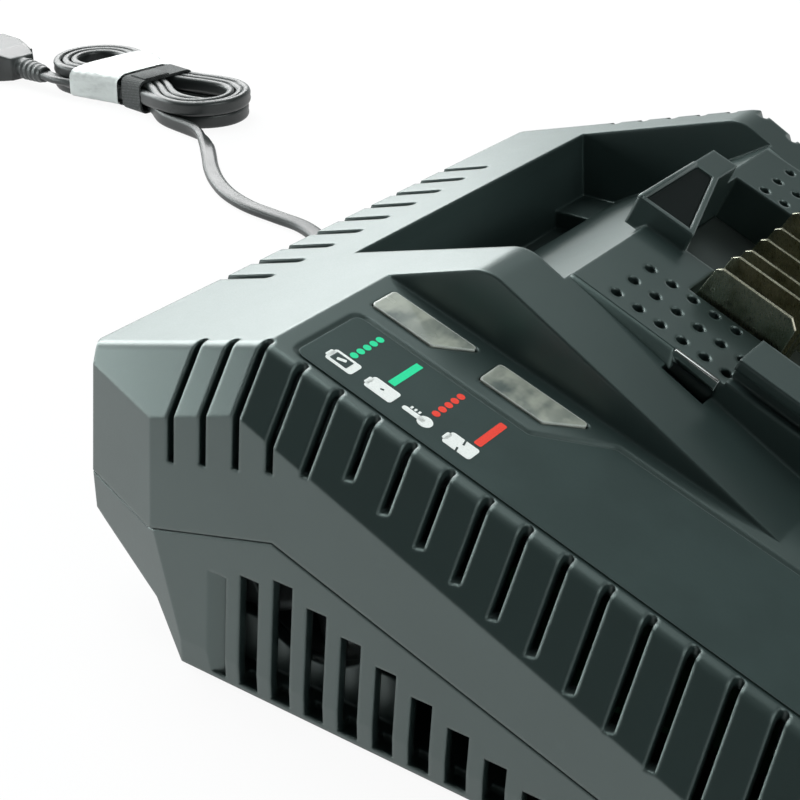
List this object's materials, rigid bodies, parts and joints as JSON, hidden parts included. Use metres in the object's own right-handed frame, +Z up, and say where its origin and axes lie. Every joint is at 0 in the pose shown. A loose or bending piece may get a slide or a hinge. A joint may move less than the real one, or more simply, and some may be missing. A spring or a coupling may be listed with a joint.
{
  "type": "power tool battery charger",
  "caption": "Tool battery charger with a sloping slide-in bay, slotted vents, control panel with light windows, fan, mains lead folded into a hank and plug.",
  "frame": {"origin": "centre of the housing's footprint on the supporting surface", "axes": "+Z up, -Y the wall below the control panel, +X towards the low nose where the battery slides in, -X the overhanging end with the mains lead"},
  "size_m": [0.5405, 0.3125, 0.0822],
  "materials": {
    "housing": "fine textured black moulding",
    "label": "printed satin film",
    "window": "clear moulded light window",
    "board": "green solder mask",
    "led": "clear lamp bodies",
    "carrier": "black heat-resistant moulding",
    "contact": "nickel-plated spring brass",
    "ferrite": "sintered ferrite",
    "tape": "yellow winding tape",
    "sink": "extruded fins",
    "epoxy": "moulded epoxy",
    "can": "shrink sleeve",
    "copper": "enamelled copper wire",
    "fuse": "ceramic tube with metal clips",
    "fan": "black glass-filled moulding",
    "steel": "zinc-plated screws",
    "cord": "black flexible sheath",
    "tie": "black strap",
    "pins": "nickel-plated pins",
    "foot": "soft black rubber"
  },
  "bodies": {
    "charger": {"upper_housing": "housing", "lower_housing": "housing", "label_panel": "label", "light_window_1": "window", "light_window_2": "window", "hood_cover": "carrier", "status_board": "board", "status_leds": "led", "contact_carrier": "carrier", "power_blades": "contact", "signal_blades": "contact", "main_board": "board", "transformer_core": "ferrite", "transformer_winding": "tape", "front_heat_sink": "sink", "rear_heat_sink": "sink", "power_transistors": "epoxy", "bulk_capacitors": "can", "output_capacitors": "can", "choke_core": "ferrite", "choke_winding": "copper", "rectifier_bridge": "epoxy", "mains_fuse": "fuse", "fan_frame": "fan", "fan_screws": "steel", "cord_clamp": "carrier", "clamp_screws": "steel", "strain_relief": "cord", "inner_lead": "cord", "mains_cord": "cord", "cord_hank": "cord", "cord_tie": "tie", "plug_body": "cord", "plug_pins": "pins", "housing_screws": "steel", "board_screws": "steel", "rubber_feet": "foot"},
    "rotor": {"fan_rotor": "fan"}
  },
  "joints": [
    {"name": "fan_spin", "type": "hinge", "parent": "charger", "child": "rotor", "pos_m": [-0.02, -0.0835, 0.0289], "axis": [0, 1, 0], "continuous": true}
  ]
}
